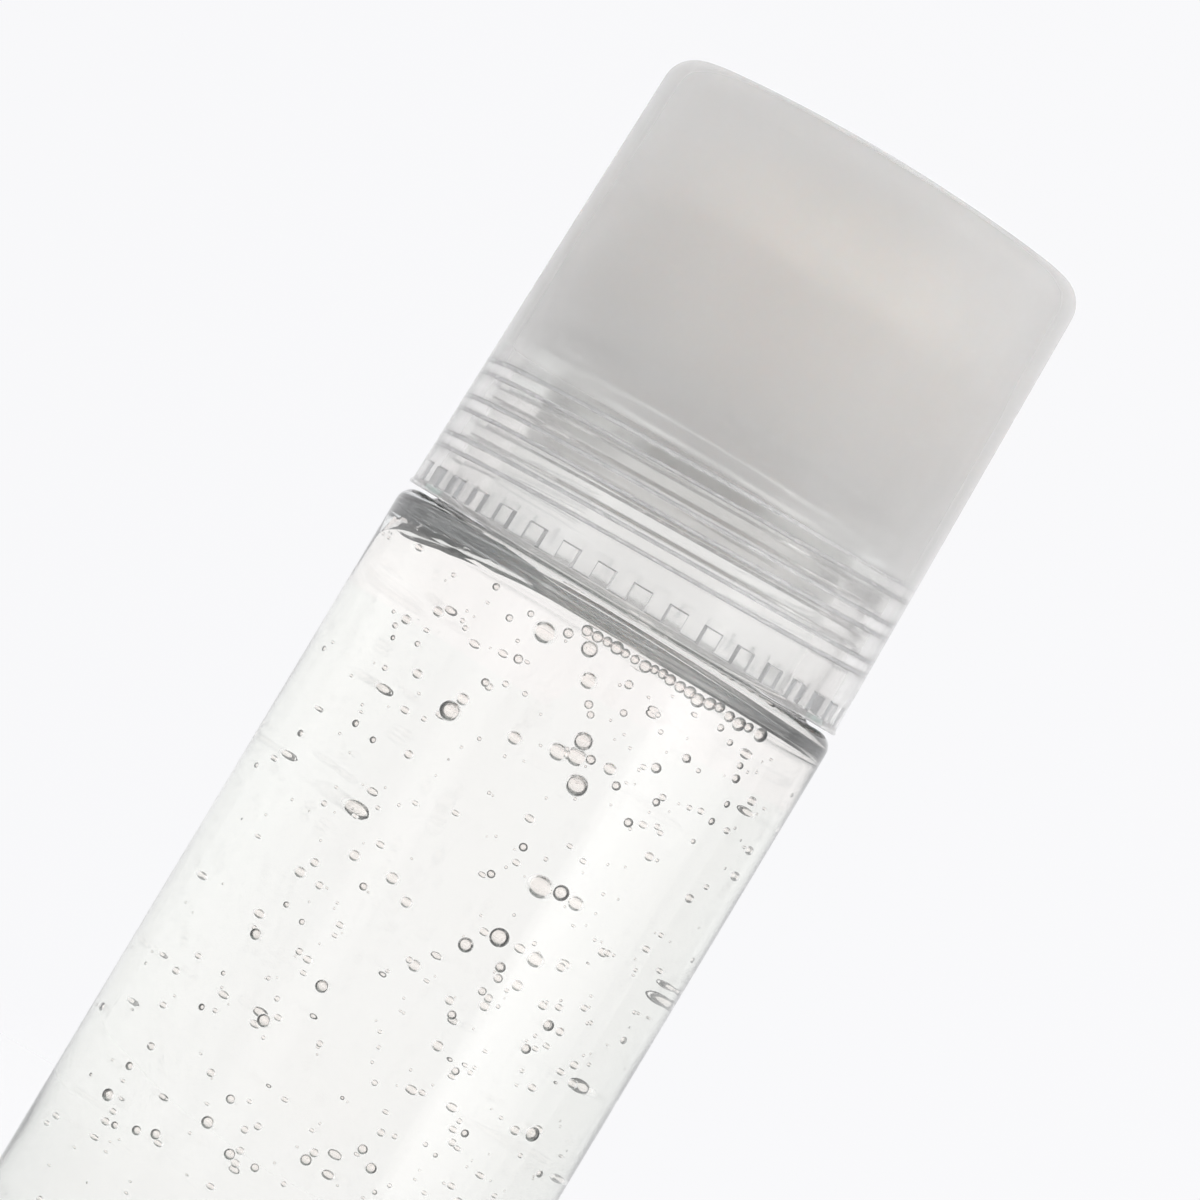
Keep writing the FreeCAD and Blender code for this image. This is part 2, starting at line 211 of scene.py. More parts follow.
# Air bubbles that stand out in the photograph, by how far behind the front wall they sit.
# Each is how far it is seen across from the axis and down from the shoulder, and its radius.
FRONT_BUBBLES = [
    (-0.7, 3.7, 0.66), (-3.2, 3.5, 0.42), (-7.2, 3.7, 0.27), (-8.7, 4.8, 0.3), (-6.0, 7.1, 0.38),
    (1.95, 7.3, 0.35), (2.6, 7.9, 0.3), (5.2, 6.5, 0.3), (12.3, 7.0, 0.36), (16.6, 6.4, 0.36),
    (16.4, 5.4, 0.28), (14.8, 4.3, 0.27), (13.5, 3.7, 0.3), (-7.5, 9.9, 0.34), (-11.2, 3.3, 0.3),
    (3.3, 9.9, 0.72), (4.9, 13.0, 0.85), (-8.9, 13.1, 0.8), (4.8, 10.8, 0.4), (8.1, 11.5, 0.36),
    (10.8, 13.4, 0.37), (10.4, 8.8, 0.42), (16.7, 10.1, 0.3), (17.0, 8.4, 0.28), (12.0, 11.0, 0.32),
    (-16.4, 10.6, 0.22), (-15.5, 17.6, 0.3), (-13.6, 18.0, 0.27), (-18.3, 20.4, 0.28), (8.8, 20.6, 0.62),
    (3.6, 19.1, 0.33), (6.0, 25.9, 0.74), (3.7, 27.7, 0.58), (7.6, 27.8, 0.42), (-7.5, 27.9, 0.32),
    (14.0, 29.7, 0.45), (-10.7, 32.6, 0.25), (13.4, 32.1, 0.4), (-13.6, 35.2, 0.46), (-6.0, 36.0, 0.52),
    (17.2, 37.4, 0.6), (-9.0, 40.5, 0.53), (-14.3, 39.0, 0.2), (9.0, 36.3, 0.33), (-7.9, 46.9, 0.37),
    (-8.6, 49.3, 0.5), (-16.8, 48.7, 0.33), (-17.0, 51.4, 0.5), (-13.7, 52.6, 0.38), (-12.1, 52.1, 0.42),
    (6.9, 45.9, 0.44), (1.2, 47.9, 0.45), (5.3, 45.0, 0.4), (-5.3, 50.5, 0.45), (-2.6, 50.4, 0.34),
]
MIDDLE_BUBBLES = [
    (-4.4, 4.5, 0.85), (0.7, 5.8, 0.62), (3.1, 11.2, 0.76), (1.6, 11.6, 0.72), (6.0, 10.7, 0.5),
    (-7.4, 11.9, 0.5), (-2.1, 12.4, 0.55), (6.0, 21.1, 0.95), (9.2, 20.8, 0.6), (8.7, 26.0, 0.65),
    (-8.4, 26.3, 0.45), (-4.8, 26.3, 0.5), (-2.8, 27.3, 0.45), (-11.4, 29.5, 0.45), (0.5, 31.1, 0.5),
    (7.2, 31.0, 0.42), (5.6, 35.4, 0.45), (8.6, 28.4, 0.45), (-9.6, 29.6, 0.33), (4.5, 32.0, 0.38),
    (-9.3, 46.0, 0.34), (-4.0, 49.9, 0.33), (-3.8, 50.9, 0.36), (14.2, 37.9, 0.4), (-1.2, 2.7, 0.6),
]
BACK_BUBBLES = [
    (-15.3, 10.1, 0.5), (14.1, 13.2, 0.35), (14.2, 11.2, 0.42), (15.4, 13.4, 0.4), (14.7, 8.5, 0.35),
    (15.5, 9.2, 0.36), (-13.0, 4.4, 0.3), (-8.2, 6.6, 0.35), (18.0, 12.3, 0.3), (-7.1, 23.4, 0.75),
    (14.7, 28.0, 0.42), (-14.2, 30.9, 0.36), (12.5, 32.7, 0.6), (-5.9, 40.3, 0.45), (2.2, 46.6, 0.42),
    (13.3, 24.0, 0.5), (-9.2, 14.5, 0.45), (2.6, 3.4, 0.4), (4.7, 5.5, 0.35), (-12.8, 44.7, 0.28),
]
FRONT_GAP = 0.25
MIDDLE_DEPTH = 9
MIDDLE_SIZE = 0.95
BACK_GAP = 0.4
BACK_SIZE = 0.9

# A row of bubbles under the right of the shoulder
ROW_LEFT = -1.8
ROW_RIGHT = 16.6
ROW_STEP = 0.95
ROW_STRETCH = (0.9, 1.25)
ROW_RADII = (0.34, 0.56)
ROW_DROPS = (0.2, 0.45)
ROW_WALL_GAP = 0.2

# Small bubbles all through the gel
SMALL_BUBBLES = 520
SMALLEST_BUBBLE = 0.09
LARGEST_SMALL_BUBBLE = 0.38
SMALL_SIZE_POWER = 2.2
SMALL_OUT_SHARES = (0.25, 1)
SMALL_TURN_SPREAD = 0.3 * FULL
SMALL_WALL_GAP = 0.3
SMALL_END_GAP = 2
SMALL_SPACING = 0.1

# Bubbles above these radii get rounder forms
ROUND_ABOVE = 0.26
ROUNDEST_ABOVE = 0.55

# Stage, in metres
FLOOR_HALF = 1.2
FLOOR_DROP = 0.00005
FADE_FROM = 0.1
FADE_TO = 0.3

# Colour of the world from the viewer's side (0) to behind the bottle (1), with grey levels at the bands between,
# and its strength, which rises from left to right
WORLD_FRONT = (0.98, 0.98, 0.985, 1)
WORLD_BEHIND = (0.98, 0.98, 0.996, 1)
WORLD_BANDS = ((0.28, 0.96), (0.46, 0.78), (0.56, 0.78), (0.74, 0.97))
WORLD_BLUE = 1.01
WORLD_LEFT, WORLD_RIGHT = -1, 0.5
STRENGTH_LEFT, STRENGTH_RIGHT = 0.92, 0.98

# Noise runs mostly between these values.
NOISE_LOW = 0.2
NOISE_HIGH = 0.8

random.seed(11)


# Outlines and skins

def arc(centre, radius, start, end, steps):
    """Points along an arc in the half plane, with angles in degrees from outwards to up."""
    points = []
    for i in range(steps + 1):
        turn = math.radians(start + (end - start) * i / steps)
        points.append((centre[0] + radius * math.cos(turn), centre[1] + radius * math.sin(turn)))
    return points


def rounded(corners, steps):
    """An outline from corners (radius, height, fillet), each fillet drawn as a short arc."""
    points = []
    for i, (r, z, fillet) in enumerate(corners):
        here = Vector((r, z))
        if not fillet or i in (0, len(corners) - 1):
            points.append((r, z))
            continue
        back = (Vector(corners[i - 1][:2]) - here).normalized()
        ahead = (Vector(corners[i + 1][:2]) - here).normalized()
        half = back.angle(ahead) / 2
        centre = here + (back + ahead).normalized() * fillet / math.sin(half)
        reach = fillet / math.tan(half)
        start = here + back * reach - centre
        end = here + ahead * reach - centre
        sweep = start.angle_signed(end)
        for k in range(steps + 1):
            turn = -sweep * k / steps
            c, s = math.cos(turn), math.sin(turn)
            points.append((centre.x + start.x * c - start.y * s, centre.y + start.x * s + start.y * c))
    return points


def filled(outline, longest):
    """The same outline with extra points, so that no step up its side is longer than this."""
    points = [outline[0]]
    for (r0, z0), (r1, z1) in zip(outline, outline[1:]):
        count = max(1, math.ceil(abs(z1 - z0) / longest))
        for k in range(1, count + 1):
            points.append((r0 + (r1 - r0) * k / count, z0 + (z1 - z0) * k / count))
    return points


def smooth_step(low, high, value):
    """0 before low, 1 past high, and a smooth rise between."""
    t = min(max((value - low) / (high - low), 0), 1)
    return t * t * (3 - 2 * t)


def even_angles(count):
    return [FULL * i / count for i in range(count)]


def spin(outline, angles, bend=None, ring=False):
    """A skin made by turning an outline about the axis. A ring is closed from the outline's last point to its
    first. Bend moves a point by its radius, height, angle and place in the outline."""
    mesh = bmesh.new()
    rows = []
    for index, (r, z) in enumerate(outline):
        if r == 0:
            height = bend(r, z, 0, index)[1] if bend else z
            rows.append([mesh.verts.new((0, 0, height * MM))])
            continue
        row = []
        for angle in angles:
            rr, zz = bend(r, z, angle, index) if bend else (r, z)
            row.append(mesh.verts.new((rr * math.cos(angle) * MM, rr * math.sin(angle) * MM, zz * MM)))
        rows.append(row)
    pairs = list(zip(rows, rows[1:]))
    if ring:
        pairs.append((rows[-1], rows[0]))
    for low, high in pairs:
        for i in range(len(angles)):
            j = (i + 1) % len(angles)
            loop = [low[i % len(low)], low[j % len(low)], high[j % len(high)], high[i % len(high)]]
            face = mesh.faces.new(list(dict.fromkeys(loop)))
            face.smooth = True
    bmesh.ops.recalc_face_normals(mesh, faces=mesh.faces)
    return mesh


def thread_rows(middles):
    """How far out and how high the rows of a wall lie that carries a rib at each of these heights."""
    profile = rounded([
        (0, -THREAD_LEAD / 2, 0),
        (0, -THREAD_WIDTH / 2, THREAD_ROUND),
        (THREAD_HEIGHT, -THREAD_CREST / 2, THREAD_ROUND),
        (THREAD_HEIGHT, THREAD_CREST / 2, THREAD_ROUND),
        (0, THREAD_WIDTH / 2, THREAD_ROUND),
        (0, THREAD_LEAD / 2, 0),
    ], steps=3)[:-1]
    return [(out, middle + up) for middle in middles for out, up in profile]


def thread_turn(angle):
    """How far round from the front an angle lies, in turns, and how much of a rib is left there."""
    turn = math.remainder(angle - FRONT, FULL) / FULL
    return turn, 1 - smooth_step(VENT_TURN - THREAD_FADE, VENT_TURN, abs(turn))


def put_in_scene(name, data):
    obj = bpy.data.objects.new(name, data)
    bpy.context.scene.collection.objects.link(obj)
    return obj


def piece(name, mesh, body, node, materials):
    """Put a mesh into the scene as a piece that rides on a body and stands for a node."""
    data = bpy.data.meshes.new(name)
    mesh.to_mesh(data)
    mesh.free()
    data.set_sharp_from_angle(angle=SHARP_ANGLE)
    obj = put_in_scene(name, data)
    for material in materials:
        data.materials.append(material)
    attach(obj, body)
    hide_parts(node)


# Materials

def smooth_range(tree, value, start, end, low, high):
    """A node's value that runs from start to end, turned smoothly into one from low to high."""
    node = tree.nodes.new("ShaderNodeMapRange")
    node.interpolation_type = "SMOOTHSTEP"
    for key, number in zip(("From Min", "From Max", "To Min", "To Max"), (start, end, low, high)):
        node.inputs[key].default_value = number
    tree.links.new(value, node.inputs["Value"])
    return node.outputs["Result"]


class Paint:
    """A node material with one main shader, and a few ways to vary it over the surface."""

    def __init__(self, name, **inputs):
        self.material = bpy.data.materials.new(name)
        self.material.use_nodes = True
        self.tree = self.material.node_tree
        self.nodes = self.tree.nodes
        self.links = self.tree.links
        self.shader = self.nodes["Principled BSDF"]
        for key, value in inputs.items():
            self.shader.inputs[key.replace("_", " ")].default_value = value
        self.place = self.nodes.new("ShaderNodeTexCoord").outputs["Object"]

    def noise(self, size, detail=3):
        """Noise whose grains are about this many millimetres across."""
        node = self.nodes.new("ShaderNodeTexNoise")
        node.inputs["Scale"].default_value = 1 / (size * MM)
        node.inputs["Detail"].default_value = detail
        self.links.new(self.place, node.inputs["Vector"])
        return node.outputs["Fac"]

    def vary_colour(self, size, dark, light, detail=3):
        """Colour that wanders between these two, in patches of this size."""
        ramp = self.nodes.new("ShaderNodeValToRGB")
        ramp.color_ramp.interpolation = "EASE"
        first, last = ramp.color_ramp.elements
        first.position, first.color = NOISE_LOW, (*dark, 1)
        last.position, last.color = NOISE_HIGH, (*light, 1)
        self.links.new(self.noise(size, detail), ramp.inputs["Fac"])
        self.links.new(ramp.outputs["Color"], self.shader.inputs["Base Color"])

    def vary_roughness(self, size, low, high):
        """Roughness that wanders between these two, in patches of this size."""
        rough = smooth_range(self.tree, self.noise(size), NOISE_LOW, NOISE_HIGH, low, high)
        self.links.new(rough, self.shader.inputs["Roughness"])

    def upwards(self, start, end, low, high):
        """A value that runs from low to high between two heights, in millimetres."""
        split = self.nodes.new("ShaderNodeSeparateXYZ")
        self.links.new(self.place, split.inputs["Vector"])
        return smooth_range(self.tree, split.outputs["Z"], start * MM, end * MM, low, high)

    def vary_up(self, key, start, end, low, high):
        """Change an input from low to high between two heights."""
        self.links.new(self.upwards(start, end, low, high), self.shader.inputs[key])

    def painted_shade_up(self, start, end, colour):
        """Painted shade: multiply the varied colour by this one, little by little between two heights, and fully
        above them.
        """
        mix = self.nodes.new("ShaderNodeMix")
        mix.data_type = "RGBA"
        mix.blend_type = "MULTIPLY"
        # The node has sockets for each type of data, and these are the ones for colours.
        factor, first, second = (mix.inputs[i] for i in (0, 6, 7))
        self.links.new(self.upwards(start, end, 0, 1), factor)
        self.links.new(self.shader.inputs["Base Color"].links[0].from_socket, first)
        second.default_value = (*colour, 1)
        self.links.new(mix.outputs[2], self.shader.inputs["Base Color"])

    def bumpy(self, size, height, strength=1.0, detail=3):
        """Grains of this size and height, in millimetres."""
        bump = self.nodes.new("ShaderNodeBump")
        bump.inputs["Strength"].default_value = strength
        bump.inputs["Distance"].default_value = height * MM
        self.links.new(self.noise(size, detail), bump.inputs["Height"])
        self.links.new(bump.outputs["Normal"], self.shader.inputs["Normal"])

    def absorbs(self, colour, density):
        """Take this colour on over the depth of the piece, by a density per metre."""
        volume = self.nodes.new("ShaderNodeVolumeAbsorption")
        volume.inputs["Color"].default_value = (*colour, 1)
        volume.inputs["Density"].default_value = density
        self.links.new(volume.outputs["Volume"], self.nodes["Material Output"].inputs["Volume"])


def clear_glass():
    paint = Paint("clear_glass", Transmission_Weight=1.0, IOR=GLASS_IOR, Roughness=0.0)
    paint.vary_colour(9, (0.994, 0.995, 0.995), (0.999, 0.999, 0.999))
    paint.bumpy(14, 0.05, detail=1)
    paint.absorbs((0.2, 0.7, 0.6), 11)
    return paint.material


def clear_gel():
    paint = Paint("clear_gel", Transmission_Weight=1.0, IOR=GEL_IOR, Roughness=0.0)
    paint.vary_colour(12, (1.0, 0.948, 0.922), (1.0, 0.955, 0.932), detail=1)
    return paint.material


def frosted_plastic(name, frost, clearest, milkiest, start, end):
    """Milky plastic that is clearest round the thread and frosted above it, with painted shade that darkens its
    colour from the rim of the ball's cup upwards.
    """
    paint = Paint(name, IOR=SOFT_PLASTIC_IOR)
    paint.vary_colour(14, (0.983, 0.968, 0.953), (0.995, 0.984, 0.972), detail=1)
    # Painted shade: the colour is darkened from around the rim of the ball's cup up to the crown.
    paint.painted_shade_up(RIM_TOP - PAINTED_SHADE_HALF, RIM_TOP + PAINTED_SHADE_HALF, (0.945, 0.95, 0.955))
    paint.vary_up("Transmission Weight", start, end, clearest, milkiest)
    paint.vary_up("Roughness", THREAD_TOP, FROST_FROM, CLEAREST_ROUGHNESS, frost)
    return paint.material


def painted_shade_steps():
    """Painted shade: a dark colour on the thin steep faces of the rim's notches and the thread, so that they show
    as dark lines on the wall.
    """
    paint = Paint("frosted_cap_painted_shade_steps", Transmission_Weight=0.7, IOR=SOFT_PLASTIC_IOR)
    # Painted shade: a dark grey that draws the steps as dark lines.
    paint.vary_colour(9, (0.42, 0.44, 0.47), (0.52, 0.54, 0.57), detail=1)
    paint.vary_roughness(2, 0.2, 0.3)
    return paint.material


def housing_plastic():
    paint = Paint("housing_plastic", IOR=1.48, Transmission_Weight=0.95)
    paint.vary_colour(7, (0.975, 0.97, 0.96), (0.99, 0.985, 0.975), detail=1)
    paint.vary_roughness(2, 0.14, 0.2)
    paint.absorbs((0.76, 0.78, 0.79), 85)
    return paint.material


def ball_plastic():
    paint = Paint("ball_plastic", IOR=1.5, Subsurface_Weight=1.0, Subsurface_Scale=0.005,
                  Subsurface_Radius=(1.0, 0.8, 0.65))
    paint.vary_colour(8, (0.9, 0.8, 0.7), (0.92, 0.835, 0.75), detail=1)
    paint.vary_roughness(4, 0.16, 0.22)
    paint.bumpy(3, 0.004, 0.5)
    return paint.material


def soft_pad():
    paint = Paint("soft_pad", IOR=SOFT_PLASTIC_IOR)
    paint.vary_colour(1.2, (0.78, 0.78, 0.77), (0.86, 0.86, 0.85))
    paint.vary_roughness(1, 0.7, 0.85)
    paint.bumpy(0.3, 0.03, 0.8)
    return paint.material


# Bottle and gel

def glass_bottle():
    """Glass body with a punt, a tight shoulder and a threaded neck."""
    punt_radius = (STAND_RADIUS ** 2 + PUNT_DEPTH ** 2) / (2 * PUNT_DEPTH)
    punt_half = math.degrees(math.asin(STAND_RADIUS / punt_radius))
    punt = arc((0, PUNT_DEPTH - punt_radius), punt_radius, 90, 90 - punt_half, 10)
    punt[0] = (0, PUNT_DEPTH)
    wall = rounded([
        (*punt[-1], 0),
        (BOTTLE_RADIUS, 0, HEEL_ROUND),
        (BOTTLE_RADIUS, SHOULDER, SHOULDER_ROUND),
        (NECK_RADIUS, SHOULDER, SMALL_ROUND),
        (NECK_RADIUS, NECK_TOP, SMALL_ROUND),
        (BORE_RADIUS, NECK_TOP, SMALL_ROUND),
        (BORE_RADIUS, CAVITY_TOP, SMALL_ROUND),
        (CAVITY_RADIUS, CAVITY_TOP, CAVITY_TOP_ROUND),
        (CAVITY_RADIUS, BASE, CAVITY_FLOOR_ROUND),
        (0, BASE, 0),
    ], steps=8)
    neck_foot = SHOULDER + SMALL_ROUND + TINY
    foot = max(i for i, (r, z) in enumerate(wall) if r > BORE_RADIUS and z < neck_foot)
    ribs = thread_rows(NECK_THREAD)
    outline = punt[:-1] + filled(wall[:foot + 1], 12)
    first = len(outline)
    outline += [(NECK_RADIUS, z) for out, z in ribs] + filled(wall[foot + 1:], 12)

    def bend(r, z, angle, index):
        if not 0 <= index - first < len(ribs):
            return r, z
        turn, left = thread_turn(angle)
        return r + ribs[index - first][0] * left, z + THREAD_LEAD * turn

    mesh = spin(outline, even_angles(160), bend)
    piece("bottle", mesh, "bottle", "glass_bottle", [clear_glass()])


def seen_in_gel(x, drop, depth):
    """Where a bubble lies that the level camera sees at x and below the shoulder, this far into the gel
    along its bent line, or this far before the back wall if the depth is negative."""
    enter = math.asin(x / BOTTLE_RADIUS)
    in_glass = math.asin(x / (GLASS_IOR * BOTTLE_RADIUS))
    at_wall = math.asin(x / (GLASS_IOR * CAVITY_RADIUS))
    in_gel = math.asin(x / (GEL_IOR * CAVITY_RADIUS))
    around = enter - (at_wall - in_glass)
    heading = in_gel - around
    chord = 2 * CAVITY_RADIUS * math.cos(in_gel)
    reach = depth if depth > 0 else chord + depth
    px = CAVITY_RADIUS * math.sin(around) + reach * math.sin(heading)
    py = -CAVITY_RADIUS * math.cos(around) + reach * math.cos(heading)
    nearer = (CAMERA_DISTANCE - CAVITY_RADIUS * math.cos(around) + reach / GEL_IOR) / CAMERA_DISTANCE
    return Vector((px, py, EYE_Z - (drop + EYE_Z - SHOULDER) * nearer))


def air_pocket(x, y):
    """How far the gel's surface drops for the pocket of air."""
    across = math.sqrt(max(CAVITY_RADIUS ** 2 - x ** 2, 1))
    share = math.sqrt(max(1 - (y / (POCKET_REACH * across)) ** 2, 0))
    return POCKET_DEPTH * smooth_step(POCKET_RIGHT, POCKET_LEFT, x) * share


def bubbles():
    """Places and sizes of the air bubbles: the ones to be seen, a row under the shoulder, and small ones."""
    found = []
    for x, drop, radius in FRONT_BUBBLES:
        found.append((seen_in_gel(x, drop, radius + FRONT_GAP), radius))
    for x, drop, radius in MIDDLE_BUBBLES:
        found.append((seen_in_gel(x, drop, MIDDLE_DEPTH + 2 * radius), radius * MIDDLE_SIZE))
    for x, drop, radius in BACK_BUBBLES:
        found.append((seen_in_gel(x, drop, -radius - BACK_GAP), radius * BACK_SIZE))
    x = ROW_LEFT
    while x < ROW_RIGHT:
        radius = random.uniform(*ROW_RADII)
        place = seen_in_gel(x, 0, radius + ROW_WALL_GAP)
        place.z = GEL_TOP - radius - random.uniform(*ROW_DROPS)
        found.append((place, radius))
        x += ROW_STEP * random.uniform(*ROW_STRETCH)
    wanted = len(found) + SMALL_BUBBLES
    while len(found) < wanted:
        radius = SMALLEST_BUBBLE + (LARGEST_SMALL_BUBBLE - SMALLEST_BUBBLE) * random.random() ** SMALL_SIZE_POWER
        out = (CAVITY_RADIUS - radius - SMALL_WALL_GAP) * math.sqrt(random.uniform(*SMALL_OUT_SHARES))
        turn = random.gauss(0, SMALL_TURN_SPREAD)
        low, high = GEL_FLOOR + radius + SMALL_END_GAP, GEL_TOP - radius - SMALL_END_GAP
        place = Vector((out * math.cos(turn), out * math.sin(turn), random.uniform(low, high)))
        if all((place - other).length > radius + size + SMALL_SPACING for other, size in found):
            found.append((place, radius))
    return found


def round_form(steps):
    """Points and faces of a ball of radius 1."""
    mesh = bmesh.new()
    bmesh.ops.create_icosphere(mesh, subdivisions=steps, radius=1)
    points = [vert.co.copy() for vert in mesh.verts]
    sides = [[vert.index for vert in face.verts] for face in mesh.faces]
    mesh.free()
    return points, sides


def gel_fill():
    """Clear gel that wets the glass, with air bubbles trapped in it."""
    radius = CAVITY_RADIUS + GEL_WETTING
    bottom = BASE - GEL_WETTING
    roof = CAVITY_TOP + GEL_WETTING
    outline = filled(rounded([
        (0, bottom, 0),
        (radius, bottom, CAVITY_FLOOR_ROUND),
        (radius, roof, CAVITY_TOP_ROUND),
        (0, roof, 0),
    ], steps=8), 6)
    outline[-1:] = [(BORE_RADIUS, roof), (BORE_RADIUS - GEL_EDGE, GEL_TOP)]
    outline += [(radius * k / 10, GEL_TOP) for k in range(7, 0, -1)] + [(0, GEL_TOP)]

    def bend(r, z, angle, index):
        return r, z - air_pocket(r * math.cos(angle), r * math.sin(angle)) * smooth_step(*POCKET_FADE, z)

    mesh = spin(outline, even_angles(128), bend)
    plain, rounder, roundest = (round_form(steps) for steps in (2, 3, 4))
    for place, size in bubbles():
        points, sides = roundest if size > ROUNDEST_ABOVE else rounder if size > ROUND_ABOVE else plain
        made = [mesh.verts.new((place + point * size) * MM) for point in points]
        for side in sides:
            # Turned inwards, so that light leaves the gel where it meets a bubble
            face = mesh.faces.new([made[i] for i in reversed(side)])
            face.smooth = True
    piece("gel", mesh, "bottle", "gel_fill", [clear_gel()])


# Housing and ball

def ball_housing():
    """Cup for the ball, with a flange on the neck's rim and a beaded plug in its bore."""
    def sphere(radius, r):
        return BALL_Z - math.sqrt(radius ** 2 - r ** 2)

    rim_radius = math.sqrt(SEAT_RADIUS ** 2 - (RIM_TOP - BALL_Z) ** 2)
    beads = []
    for i in range(BEAD_COUNT):
        middle = PLUG_FOOT + (NECK_TOP - PLUG_FOOT) * (i + 1) / (BEAD_COUNT + 1)
        beads += [
            (PLUG_RADIUS, middle - BEAD_HEIGHT / 2, 0),
            (BEAD_CREST, middle, 0.3),
            (PLUG_RADIUS, middle + BEAD_HEIGHT / 2, 0),
        ]
    roof = [FEED_RADIUS + (PLUG_INSIDE - FEED_RADIUS) * k / 6 for k in range(7)]
    outline = [(r, sphere(UNDER_RADIUS, r)) for r in roof]
    outline += rounded([
        (PLUG_INSIDE, PLUG_FOOT + PLUG_INNER_EDGE, 0),
        (PLUG_INSIDE, PLUG_FOOT, 0.2),
        (PLUG_RADIUS - PLUG_BEVEL, PLUG_FOOT, 0.2),
        (PLUG_RADIUS, PLUG_FOOT + PLUG_BEVEL, 0.2),
        *beads,
        (PLUG_RADIUS, NECK_TOP, 0),
        (FLANGE_RADIUS, NECK_TOP, 0.2),
        (FLANGE_RADIUS, FLANGE_TOP, 0.5),
        (CUP_RADIUS, FLANGE_TOP, 0.6),
        (CUP_RADIUS, RIM_TOP - RIM_BEVEL, 0.4),
        (rim_radius + RIM_WIDTH, RIM_TOP, 0.3),
        (rim_radius + RIM_EDGE, RIM_TOP, 0),
    ], steps=4)
    rim_turn = math.asin((RIM_TOP - BALL_Z) / SEAT_RADIUS)
    feed_turn = math.acos(FEED_RADIUS / SEAT_RADIUS)
    turns = [rim_turn * (1 - k / 8) for k in range(9)] + [-feed_turn * k / 16 for k in range(1, 17)]
    outline += [(SEAT_RADIUS * math.cos(t), BALL_Z + SEAT_RADIUS * math.sin(t)) for t in turns]

    def bend(r, z, angle, index):
        if r > FEED_RADIUS + TINY:
            return r, z
        off = abs(math.remainder(angle, FULL / FEED_NOTCH_COUNT))
        half = FEED_NOTCH_ANGLE / 2
        wide = r + FEED_NOTCH * (1 - smooth_step(half - FEED_NOTCH_BLEND, half + FEED_NOTCH_BLEND, off))
        below = z < sphere(SEAT_RADIUS, r) - SEAT_WALL / 2
        return wide, sphere(UNDER_RADIUS if below else SEAT_RADIUS, wide)

    mesh = spin(outline, even_angles(144), bend, ring=True)
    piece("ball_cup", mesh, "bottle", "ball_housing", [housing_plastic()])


def roller_ball():
    """Smooth hollow ball, with the faint weld line of its two halves."""
    turns = [math.pi * k / 48 for k in range(49)]
    outline = [(BALL_RADIUS * math.sin(t), BALL_Z - BALL_RADIUS * math.cos(t)) for t in turns]
    outline[0] = (0, BALL_Z - BALL_RADIUS)
    outline[-1] = (0, BALL_Z + BALL_RADIUS)

    def bend(r, z, angle, index):
        return r - SEAM_DEPTH * (1 - smooth_step(0, SEAM_HALF, abs(z - BALL_Z))), z

    mesh = spin(outline, even_angles(96), bend)
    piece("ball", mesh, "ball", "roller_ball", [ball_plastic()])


# Cap and pad

def crown(r):
    """Height of the crown's outside."""
    return CROWN_CENTRE + math.sqrt(CROWN_RADIUS ** 2 - r ** 2)


def under_crown(r):
    """Height of the crown's inside."""
    return CROWN_CENTRE + math.sqrt((CROWN_RADIUS - CROWN_WALL) ** 2 - r ** 2)


def inner_wall(z):
    """Radius of the cap's smooth inside."""
    share = (z - LIP_TOP) / (under_crown(CAP_INSIDE_TOP) - LIP_TOP)
    return CAP_INSIDE + (CAP_INSIDE_TOP - CAP_INSIDE) * share


def cap_angles():
    """Angles round the cap, with two close together at each side of a notch."""
    before, after = NOTCH_HALF - EDGE_ANGLE, NOTCH_HALF + EDGE_ANGLE
    offsets = (-after, -before, 0, before, after, NOTCH_PITCH / 2)
    return [NOTCH_FIRST + k * NOTCH_PITCH + off for k in range(NOTCH_COUNT) for off in offsets]


def sort_cap_faces(mesh):
    """Give the outside of the cap its first material, the inside the second, and steep inside faces the third,
    which is painted shade.
    """
    for face in mesh.faces:
        reach = max(vert.co.xy.length for vert in face.verts) / MM
        z = sum(vert.co.z for vert in face.verts) / len(face.verts) / MM
        side = CAP_FOOT_RADIUS + (CAP_TOP_RADIUS - CAP_FOOT_RADIUS) * (z - LIP_TOP) / (CAP_SIDE_TOP - LIP_TOP)
        under = z < crown(min(reach, CAP_TOP_RADIUS)) - CROWN_WALL / 2
        if not under or reach >= side - CAP_WALL / 3:
            continue
        face.normal_update()
        spoke = face.calc_center_median().to_2d().normalized()
        steep = abs(face.normal.to_2d().dot(spoke)) < STEEP
        # Steep faces between the rim and the top thread take the painted-shade material.
        face.material_index = 2 if steep and LIP_TOP < z < CAP_THREAD[-1] + THREAD_LEAD else 1


